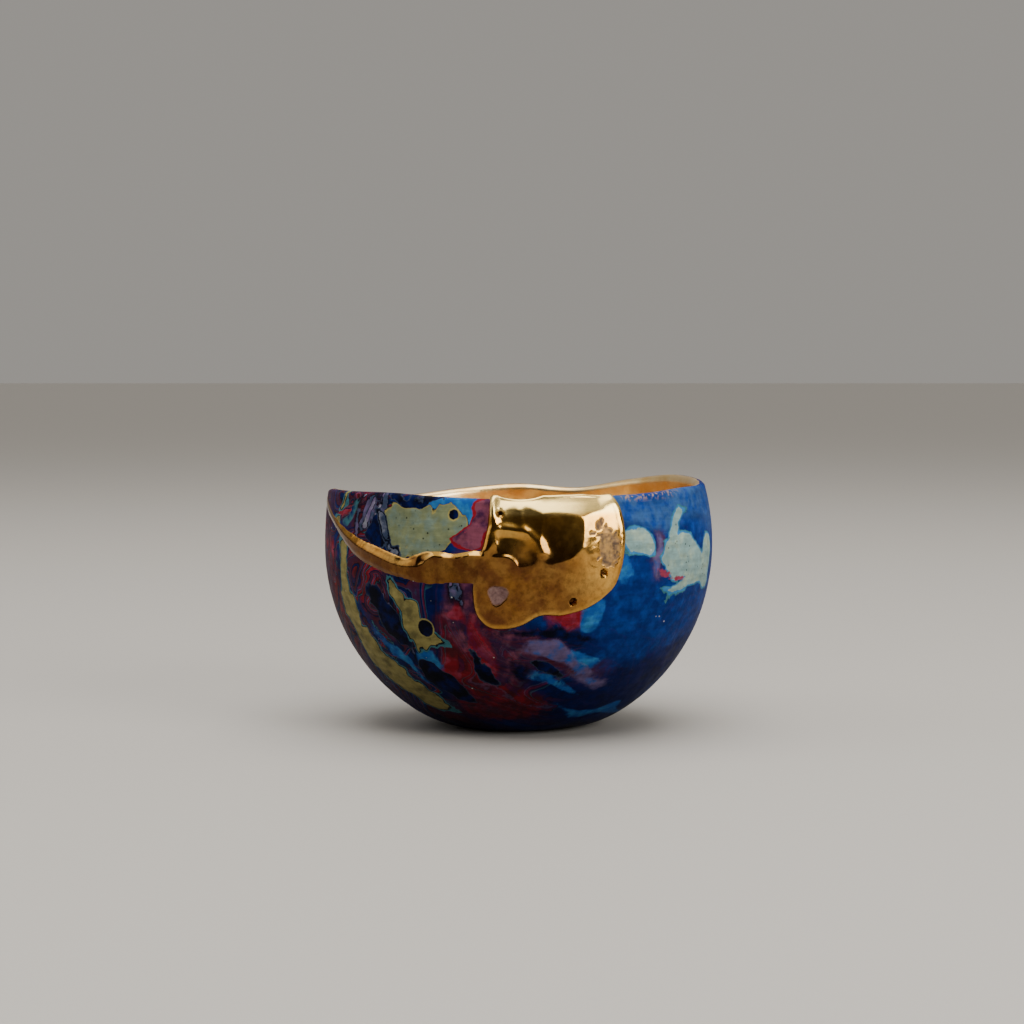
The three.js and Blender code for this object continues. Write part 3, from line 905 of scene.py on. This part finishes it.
# Marks in the gold, each placed by (azimuth, height in millimetres)
marks = dict(
    facets=[((9.4, 37.6), (0.5, 0.5), 0.1, 0), ((24.5, 36.0), (0.9, 0.05), 0.16, 0),
            ((0.3, 34.6), (1.3, 0.5), -0.02, -0.13)],
    dents=[((3.2, 33.8), 1.9, 0.14), ((-2.2, 33.2), 1.8, -0.06), ((-9.2, 38.5), 1.2, 0.1),
           ((3, 27.6), 4.4, 0.1), ((13, 30), 3.6, 0.08), ((-4.5, 23.2), 3.0, -0.08)],
    ridges=[([(-7.5, 42.5), (-6.8, 38.7), (-6.9, 36.5), (-8.3, 34.3)], 0.8, 0.26),
            ([(-5.2, 38.1), (-2.8, 38.0), (2.1, 37.2), (4.9, 35.8), (6.1, 34.2)], 1.0, 0.34),
            ([(0.2, 41), (0.7, 38.9), (2.1, 37.5)], 0.7, 0.16)],
    pits=[((-5.3, 40.7), 0.75), ((24, 30.3), 0.75), ((15.1, 25.6), 0.65)],
    facetBlend=0.03,
    bareEdge=(1.06, 0.9),
    bareRim=0.06,
    wornEdge=(1.05, 0.91),
    pitFloor=(0.95, 0.45),
    pitSlope=0.45,
    pitDepth=0.9,
    pitRim=0.03,
    hairlineDepth=0.025,
    hairlineReach=0.16,
    thumbedEdge=0.05,
    hairlines=[[(-2.3, 29.8), (6, 29.2), (16, 28.1)], [(-5.5, 24.5), (-5.3, 22.6), (-5.6, 21)],
               [(18, 33), (21.6, 31.6), (23.7, 32.6)], [(20, 31.9), (21.6, 31.6)]],
    bareSpot=((-5.9, 26.8), 1.65, 0.25),
    wornPatch=((25.6, 34.8), (4.0, 7.0), 0.06),
    wornChips=[((22.5, 38.4), (1.0, 1.6)), ((23.6, 39.1), (0.8, 1.3)), ((20.6, 37.2), (1.4, 0.5))],
)
# The seam along its way, by azimuth: where its crest lies, from -1 at its lower to 1 at its upper edge, and
# how much of its full height it has. Its nicks are (place, size, how far they stand up)
seam = dict(
    crestAt=[(-60, 0.25), (-45, 0.2), (-33, 0.15), (-29, 0.1), (-24, 0.72), (-12, 0.72)],
    height=[(-82, 0.16), (-70, 0.3), (-58, 0.75), (-45, 1.0)],
    proud=0.08,
    crest=0.1,
    crestWidth=0.12,
    lowerStep=(0.35, 2.5),
    upperFall=(0.62, 1.2),
    roughBetween=(-30, -50),
    nicks=[((-32.4, 32.6), (1.0, 0.35), -0.12), ((-29.3, 32.7), (0.5, 0.8), 0.1),
           ((-27.6, 32.2), (0.9, 0.35), -0.1), ((-25.5, 31.4), (1.2, 0.3), -0.05)],
)
# The unevenness of what a hand has laid, in waves of (reach, length, seed)
ripples = dict(
    fillOutline=(0.1, 3.5, 3),
    fill=(0.08, 9, 5),
    burnish=(0.035, 2.6, 6),
    grain=(0.012, 1.1, 7),
    bareSpot=(0.1, 2.5, 8),
    wornPatch=(0.3, 3, 9),
    wornTears=(0.35, 1.1, 19),
    hairline=(0.12, 1.5, 21),
    seamAcross=(0.08, 6, 12),
    seamCrest=(0.08, 7, 13),
    seamFace=(0.03, 2.2, 14),
    seamGrain=(0.02, 0.9, 16),
    seamOutline=(0.14, 3.0, 15),
)
# The stretch of wall that the gold is made from, and where the lip's paint is chipped, in azimuth and in
# millimetres below the lip and in from the middle of the wall
blank = dict(azimuths=(-108.0, 38.0), azimuthStep=0.32, stations=230, lowest=17.0, margin=4, below=3,
             deepest=20)
chips = dict(start=(29, 32), end=(58, 48), belowLip=(1.3, 0.4), inward=(0.3, 0))
# The gold's painted shade and painted highlight, and where it is matt, between heights over the table,
# azimuths, and distances below the lip
goldPaintedLightAndMatt = dict(
    paintedShadeBetween=(41, 32),
    rightShare=0.45,
    rightBetween=(30, 6),
    rimWidth=1.1,
    rimBelow=(30, 25),
    rimShare=0.8,
    seamBetween=(-9, -15),
    upwardShare=0.75,
    seamShade=0.35,
    shadeBetween=(-8, -16),
    paintedHighlightBetween=(-3.4, -2.0),
    paintedHighlightFrom=-20,
    paintedHighlightMatt=0.4,
    mattAt=(1.6, 34.2),
    mattRadius=4.2,
)


def laidOut(azimuth, level):
    return np.radians(azimuth) * cup["bellyRadius"], level


def distanceTo(x, z, line, closed=False):
    # nearest distance to a flat polyline, which side it is on, and how far along it the nearest point is
    line = np.asarray(line)[:, :2]
    ends = np.roll(line, -1, axis=0) if closed else line[1:]
    starts = line if closed else line[:-1]
    best = np.full(x.shape, 1e9)
    side = np.zeros(x.shape)
    along = np.zeros(x.shape)
    for k, (a, b) in enumerate(zip(starts, ends)):
        run = b - a
        t = np.clip(((x - a[0]) * run[0] + (z - a[1]) * run[1]) / (run @ run), 0, 1)
        gapX, gapZ = x - a[0] - t * run[0], z - a[1] - t * run[1]
        gap = np.hypot(gapX, gapZ)
        nearer = gap < best
        best = np.where(nearer, gap, best)
        side = np.where(nearer, run[0] * gapZ - run[1] * gapX, side)
        along = np.where(nearer, k + t, along)
    return best, np.sign(side), along


def inside(x, z, outline):
    within = np.zeros(x.shape, bool)
    for a, b in zip(outline, np.roll(outline, -1, axis=0)):
        if a[1] != b[1]:
            crosses = (a[1] > z) != (b[1] > z)
            within ^= crosses & (x < (b[0] - a[0]) * (z - a[1]) / (b[1] - a[1]) + a[0])
    return within


def softMin(a, b, blend):
    h = np.clip(0.5 + 0.5 * (b - a) / blend, 0, 1)
    return b + (a - b) * h - blend * h * (1 - h)


def roundedEdge(depth, reach):
    # rises from the paint as a rounded edge
    t = np.clip(depth / reach, 0, 1)
    return np.sqrt(1 - (1 - t) ** 2)


def sunken(depth):
    # goes down into the clay outside the outline
    deepest, slope = mend["sunk"]
    return np.maximum(depth, -deepest) * slope


def ripple(x, z, name):
    # a few crossing waves
    reach, size, seed = ripples[name]
    draw = np.random.default_rng(seed)
    total = np.zeros(x.shape)
    waves = 9
    for _ in range(waves):
        angle, phase = draw.uniform(0, math.pi), draw.uniform(0, 2 * math.pi)
        length = size * draw.uniform(0.6, 1.6)
        total += np.sin((x * math.cos(angle) + z * math.sin(angle)) * 2 * math.pi / length + phase)
    return reach * (total / waves)


def distanceFrom(x, z, at):
    cx, cz = laidOut(*at)
    return np.hypot(x - cx, z - cz)


def bareness(x, z):
    # 1 in the middle of the spot that shows bare clay, 0 outside its rounded triangle
    at, radius, _ = marks["bareSpot"]
    cx, cz = laidOut(*at)
    angle = np.arctan2(z - cz, x - cx)
    rounded = 1 - 0.13 * np.sin(3 * angle + 0.5) + ripple(x, z, "bareSpot")
    return fade(distanceFrom(x, z, at) * rounded / radius, *marks["bareEdge"])


def wornness(x, z):
    # 1 in the scuffed patch and the torn bits at its upper left
    worn = np.zeros(x.shape)
    ragged = 1 + ripple(x, z, "wornPatch") + ripple(x, z, "wornTears")
    for at, size in [marks["wornPatch"][:2], *marks["wornChips"]]:
        cx, cz = laidOut(*at)
        spread = np.hypot((x - cx) / size[0], (z - cz) / size[1]) * 2 * ragged
        worn = np.maximum(worn, fade(spread, *marks["wornEdge"]))
    return worn


def pitted(x, z):
    # 1 at the bottom of the pits
    return np.max([fade(distanceFrom(x, z, at) / radius, *marks["pitFloor"])
                   for at, radius in marks["pits"]], axis=0)


def bentLine(points):
    return throughPoints([laidOut(*p) for p in points], False, 6)


def fillRelief(x, z):
    # the fill's surface over the paint, in millimetres
    gap, _, _ = distanceTo(x, z, patchLine, closed=True)
    depth = np.where(inside(x, z, patchLine), gap, -gap) + ripple(x, z, "fillOutline")
    build = mend["proud"] + ripple(x, z, "fill")
    for at, curving, low, tilt in marks["facets"]:
        cx, cz = laidOut(*at)
        plane = low + tilt * (z - cz)
        plane = plane + ((x - cx) ** 2 * curving[0] + (z - cz) ** 2 * curving[1]) / cup["bellyRadius"]
        build = softMin(build, plane, marks["facetBlend"])
    for at, radius, deep in marks["dents"]:
        build -= deep * np.exp(-2 * (distanceFrom(x, z, at) / radius) ** 2)
    for line, reach, high in marks["ridges"]:
        build += high * hill(distanceTo(x, z, bentLine(line))[0], reach)
    build += ripple(x, z, "burnish") + ripple(x, z, "grain")
    # the gold stands up round the bare spot
    bare = bareness(x, z)
    build += marks["bareRim"] * hill(bare - 0.35, 0.2)
    for line in marks["hairlines"]:
        gap = distanceTo(x, z, bentLine(line))[0] + ripple(x, z, "hairline")
        build -= marks["hairlineDepth"] * hill(gap, marks["hairlineReach"])
    build -= marks["bareSpot"][2] * bare + marks["wornPatch"][2] * wornness(x, z)
    for at, radius in marks["pits"]:
        t = distanceFrom(x, z, at) / radius
        rim = marks["pitRim"] * hill(t - 1.2, 0.2)
        build -= marks["pitDepth"] * smooth((1 - t) / marks["pitSlope"]) - rim
    build += marks["thumbedEdge"] * hill(depth - 1.0, 0.45)
    return depth, np.where(depth > 0, build * roundedEdge(depth, mend["edgeRound"]), sunken(depth))


def seamRelief(x, z):
    # the seam's surface: a crest nearer its upper edge over a broad lower face, thinning out at the lip
    gap, side, along = distanceTo(x, z, crackLine)
    azimuth = np.degrees(x / cup["bellyRadius"])
    half = np.interp(along, np.arange(len(crackLine)), crackLine[:, 2]) / 2
    across = np.clip(-side * gap / half + ripple(x, z, "seamAcross"), -1, 1)
    crestAt = np.interp(azimuth, *zip(*seam["crestAt"])) + ripple(x, z, "seamCrest")
    rising = (across + 1) / (crestAt + 1)
    falling = (across - crestAt) / (1 - crestAt)
    step, stepSteepness = seam["lowerStep"]
    fall, fallSteepness = seam["upperFall"]
    lower = step * smooth(rising * stepSteepness) + (1 - step) * rising
    rise = np.where(across < crestAt, lower, 1 - fall * smooth(falling * fallSteepness))
    crest = seam["crest"] * hill(across - crestAt, seam["crestWidth"])
    rough = ripple(x, z, "seamFace") + ripple(x, z, "seamGrain") * fade(azimuth, *seam["roughBetween"])
    full = np.interp(azimuth, *zip(*seam["height"]))
    high = (mend["proud"] + seam["proud"]) * (rise + crest) * full + rough * full
    for at, size, lift in seam["nicks"]:
        cx, cz = laidOut(*at)
        high = high + lift * np.exp(-((x - cx) / size[0]) ** 2 - ((z - cz) / size[1]) ** 2)
    depth = half - gap + ripple(x, z, "seamOutline")
    edge = roundedEdge(depth, np.minimum(mend["edgeRound"], half * 0.9))
    return depth, np.where(depth > 0, high * edge, sunken(depth))


def wallSection(fromHeight):
    # the section from here outside, over the lip, down to the same height inside, with its normals
    outer, inner = outsideLine(), insideLine()
    outer = outer[outer[:, 1] >= fromHeight]
    inner = inner[inner[:, 1] >= fromHeight]
    line = evenly(np.vstack([outer, lipLine(), inner]), blank["stations"])
    along = np.gradient(line, axis=0)
    normal = np.column_stack([along[:, 1], -along[:, 0]]) / np.linalg.norm(along, axis=1)[:, None]
    return line, normal


def swept(section, azimuths):
    # the section's points at each azimuth in turn: their azimuth, radius and height
    radius, height = (np.tile(section[:, k], len(azimuths)) for k in (0, 1))
    return np.repeat(azimuths, len(section)), radius, height


def sweptSolid(name, rows, azimuth, reach, level):
    # closed round its section's points, so many rows of them, and at both ends
    count = len(azimuth) // rows
    faces = [(c * rows + r, c * rows + (r + 1) % rows, (c + 1) * rows + (r + 1) % rows, (c + 1) * rows + r)
             for c in range(count - 1) for r in range(rows)]
    faces += [list(range(rows))[::-1], list(range((count - 1) * rows, count * rows))]
    thing = newMesh(name, roundCup(azimuth, reach, level) * mm, faces)
    facingOut(thing)
    return thing


def goldBlank(name, material):
    # the gold before it is cut to its outlines: a stretch of the wall with the relief on it
    line, normal = wallSection(blank["lowest"])
    azimuth, radius, height = swept(line, np.arange(*blank["azimuths"], blank["azimuthStep"]))
    columns = len(azimuth) // len(line)
    reach, level = handFormed(radius, height, azimuth)
    x, z = laidOut(azimuth, level)
    lift = -softMin(-fillRelief(x, z)[1], -seamRelief(x, z)[1], mend["joinBlend"])
    pastCrown = np.tile(np.arange(len(line)) - np.argmax(line[:, 1]), columns)
    outward = 1 - smooth(pastCrown / mend["stationsOverLip"])
    # rolled over at the lip
    underLip = level - lipHeight - swayAt(azimuth)
    over = mend["rollReach"] * np.clip(underLip / mend["lipRoll"] + 1, 0, 1)
    upright = np.clip(np.tile(normal[:, 0], columns), 0, 1)
    lift -= mend["rollDepth"] * (1 - np.sqrt(1 - over ** 2)) * upright
    lift = lift * outward + mend["inside"] * (1 - outward)
    reach = reach + lift * np.tile(normal[:, 0], columns)
    level = level + lift * np.tile(normal[:, 1], columns)
    # the fill's face leans in below the lip
    start = lipHeight - mend["lipBand"]
    outer = outsideLine()
    limit = handFormed(np.interp(start, outer[:, 1], outer[:, 0]), start, azimuth)[0] + mend["proud"]
    limit = limit - mend["lipSlope"] * (underLip + mend["lipBand"])
    here = fade(azimuth, *mend["bandFrom"]) * fade(azimuth, *mend["bandTo"]) * outward
    reach = reach + (softMin(reach, limit, mend["bandBlend"]) - reach) * here
    thing = sweptSolid(name, len(line), azimuth, reach, level)
    thing.data.materials.append(material)
    return thing


def goldCore(name):
    # the wall under the gold's edge, which the gold doesn't reach into
    margin = blank["margin"]
    line, normal = wallSection(blank["lowest"] - blank["below"])
    outer = (line - normal * mend["bed"])[:np.argmax(line[:, 1]) - margin]
    outer = np.vstack([outer, [blank["deepest"], outer[-1, 1]], [blank["deepest"], outer[0, 1]]])
    first, last = blank["azimuths"]
    azimuth, radius, height = swept(outer, np.arange(first - margin, last + margin, 1.0))
    return sweptSolid(name, len(outer), azimuth, *handFormed(radius, height, azimuth))


def places(thing):
    # azimuth and position of each of a mesh's points, in millimetres
    co = np.empty(len(thing.data.vertices) * 3)
    thing.data.vertices.foreach_get("co", co)
    co = co.reshape(-1, 3) / mm
    return np.degrees(np.arctan2(co[:, 0], -co[:, 1])), np.hypot(co[:, 0], co[:, 1]), co[:, 2]


def keep(thing, name, values):
    attribute = thing.data.attributes.new(name, "FLOAT", "POINT")
    attribute.data.foreach_set("value", np.asarray(values, np.float32))


def finishEdges(thing):
    thing.data.shade_smooth()
    thing.data.set_sharp_from_angle(angle=math.radians(42))


def inwardness(thing):
    # how far each point lies in from the middle of the wall
    azimuth, reach, level = places(thing)
    height = evenHeight(level, azimuth)
    radius = reach - leaning(height, azimuth)
    outer, inner = outsideLine(), insideLine()[::-1]
    middle = (np.interp(height, outer[:, 1], outer[:, 0]) + np.interp(height, inner[:, 1], inner[:, 0])) / 2
    return np.clip(middle - radius, -2, 2)


def markPaint(thing):
    # the paint ends on the lip, and is chipped along it at the front right
    azimuth, _, level = places(thing)
    inward = inwardness(thing)
    keep(thing, "inward", inward)
    marbled(thing)
    underLip = lipHeight + swayAt(azimuth) - level
    along = fade(azimuth, *chips["start"]) * fade(azimuth, *chips["end"])
    keep(thing, "chipped", along * fade(underLip, *chips["belowLip"]) * fade(inward, *chips["inward"]))


def markGold(thing):
    # where the gold is bare, worn, pitted and matt, where it has painted shade, low down and on the seam,
    # and where a painted highlight lies along the lip
    azimuth, _, level = places(thing)
    x, z = laidOut(azimuth, level)
    outside = inwardness(thing) < -0.5
    normals = np.empty(len(x) * 3)
    thing.data.vertices.foreach_get("normal", normals)
    upward = fade(normals[2::3], 0.1, 0.6)
    # painted shade: darker gold low down, weaker to the right, mostly left off along the fill's lower rim,
    # and over the seam; less of it where the gold faces up
    toRight = goldPaintedLightAndMatt["rightShare"] + (1 - goldPaintedLightAndMatt["rightShare"]) * fade(azimuth, *goldPaintedLightAndMatt["rightBetween"])
    rim = smooth(1 - fillRelief(x, z)[0] / goldPaintedLightAndMatt["rimWidth"]) * fade(z, *goldPaintedLightAndMatt["rimBelow"])
    low = fade(z, *goldPaintedLightAndMatt["paintedShadeBetween"]) * toRight * (1 - goldPaintedLightAndMatt["rimShare"] * rim)
    paintedShadeAmber = np.maximum(low, fade(azimuth, *goldPaintedLightAndMatt["seamBetween"])) * (1 - goldPaintedLightAndMatt["upwardShare"] * upward)
    # painted shade on the seam, where it doesn't face up, in the same dark colour as the pits
    shade = goldPaintedLightAndMatt["seamShade"] * fade(azimuth, *goldPaintedLightAndMatt["shadeBetween"]) * (1 - upward)
    # painted highlight: pale gold along the top of the lip, right of azimuth -20, and matt there in part
    paintedHighlight = fade(z - (lipHeight + swayAt(azimuth)), *goldPaintedLightAndMatt["paintedHighlightBetween"]) * (azimuth > goldPaintedLightAndMatt["paintedHighlightFrom"])
    matt = smooth(1 - distanceFrom(x, z, goldPaintedLightAndMatt["mattAt"]) / goldPaintedLightAndMatt["mattRadius"])
    pitsAndPaintedShade = np.maximum(pitted(x, z), shade)
    for name, values in dict(bare=bareness(x, z), worn=wornness(x, z), paintedShadeAmber=paintedShadeAmber, pitsAndPaintedShade=pitsAndPaintedShade).items():
        keep(thing, name, values * outside)
    keep(thing, "paintedHighlight", paintedHighlight)
    keep(thing, "matt", np.maximum(goldPaintedLightAndMatt["paintedHighlightMatt"] * paintedHighlight, matt))


body = makeBowl("bowl", marbledGlaze())
print("bowl turned:", len(body.data.polygons), "faces")

overLip = mend["overLip"] * lipHeight
ends = [[crackLine[-1, 0], overLip], [crackLine[0, 0], overLip]]
overCrack = throughWall("over crack", np.vstack([crackLine[:, :2], *ends]))
lostPiece = throughWall("lost piece", patchGrown(-mend["lap"]))
crackGap = throughWall("crack gap", crackGrown(0, mend["crackWidth"]))
carved(body, ("DIFFERENCE", lostPiece), ("DIFFERENCE", crackGap))
shard = newObject("shard", body.data.copy())
carved(shard, ("INTERSECT", overCrack))
carved(body, ("DIFFERENCE", overCrack))
print("shard broken out:", len(shard.data.polygons), "faces")

core = goldCore("gold core")
carved(core, ("DIFFERENCE", lostPiece), ("DIFFERENCE", crackGap))
patchEdge = throughWall("patch edge", patchGrown(mend["cutWider"]))
seamEdge = throughWall("seam edge", crackGrown(mend["cutWider"]))
carved(patchEdge, ("UNION", seamEdge))
mendPiece = goldBlank("gold_mend", burnishedGold())
carved(mendPiece, ("INTERSECT", patchEdge), ("DIFFERENCE", core))
print("gold cut:", len(mendPiece.data.polygons), "faces")
for tool in (overCrack, lostPiece, crackGap, core, patchEdge, seamEdge):
    bpy.data.objects.remove(tool)

for thing, mark in ((body, markPaint), (shard, markPaint), (mendPiece, markGold)):
    finishEdges(thing)
    mark(thing)

for thing, node, slot in ((body, "cup_body", "marbled_glaze"), (shard, "rejoined_shard", "marbled_glaze"),
                          (mendPiece, "gold_repair", "gold_lacquer")):
    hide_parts(node)
    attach(thing, "root")

# Studio
studio = dict(floor=srgb(184, 180, 174), floorSize=40.0, floorRoughness=0.6, frontTo=(-0.35, 0.15),
              ceilingFrom=(0.5, 0.85))


def plainMaterial(name, colour, roughness):
    material, tree, shader = newMaterial(name)
    shader.inputs["Base Color"].default_value = colour
    shader.inputs["Roughness"].default_value = roughness
    return material


half = studio["floorSize"] / 2
corners = [(-half, -half, 0), (half, -half, 0), (half, half, 0), (-half, half, 0)]
floor = newMesh("floor", corners, [(0, 1, 2, 3)])
floor.data.materials.append(plainMaterial("floor", studio["floor"], studio["floorRoughness"]))

# A soft white ceiling over a pale room, dim where it faces the cup's front
room = dict(
    ceiling=(srgb(255, 250, 242), 0.85),
    walls=(srgb(172, 168, 162), 0.8),
    front=(srgb(170, 164, 158), 0.1),
)
world = bpy.data.worlds.new("studio")
bpy.context.scene.world = world
world.use_nodes = True
tree = world.node_tree
outlook = addNode(tree, "ShaderNodeTexCoord").outputs["Generated"]
way = addNode(tree, "ShaderNodeSeparateXYZ", outlook).outputs
shades = {name: (*(channel * bright for channel in colour[:3]), 1.0)
          for name, (colour, bright) in room.items()}
around = mixed(tree, ranged(tree, way["Y"], *studio["frontTo"]), shades["front"], shades["walls"])
overall = mixed(tree, ranged(tree, way["Z"], *studio["ceilingFrom"]), around, shades["ceiling"])
plug(tree, tree.nodes["Background"].inputs["Color"], overall)

lamps = [
    dict(name="overhead", at=(0.05, -0.2, 0.9), aim=(0.05, -0.2, 0), size=(0.8, 1.3), watts=11,
         colour=(1, 0.98, 0.95)),
    dict(name="window right", at=(0.52, -0.47, 0.26), aim=(0, 0, 0.03), size=(0.32, 0.36), watts=3.2,
         colour=(1, 0.98, 0.94)),
    dict(name="fill left", at=(-0.8, -0.1, 0.5), aim=(0, 0, 0.03), size=(0.5, 0.7), watts=1.4,
         colour=(0.98, 0.98, 1)),
]
for lamp in lamps:
    light = bpy.data.lights.new(lamp["name"], "AREA")
    light.shape = "RECTANGLE"
    light.size, light.size_y = lamp["size"]
    light.energy = lamp["watts"]
    light.color = lamp["colour"]
    holder = newObject(lamp["name"], light)
    holder.location = lamp["at"]
    holder.rotation_euler = (Vector(lamp["aim"]) - Vector(lamp["at"])).to_track_quat("-Z", "Y").to_euler()

view = dict(at=(-1.23 * mm, -450 * mm, 64 * mm), down=3.185, lens=86.2, sensor=36)
camera = bpy.data.cameras.new("camera")
camera.lens = view["lens"]
camera.sensor_width = view["sensor"]
viewer = newObject("camera", camera)
viewer.location = view["at"]
viewer.rotation_euler = (math.radians(90 - view["down"]), 0, 0)
bpy.context.scene.camera = viewer

bpy.context.view_layer.update()
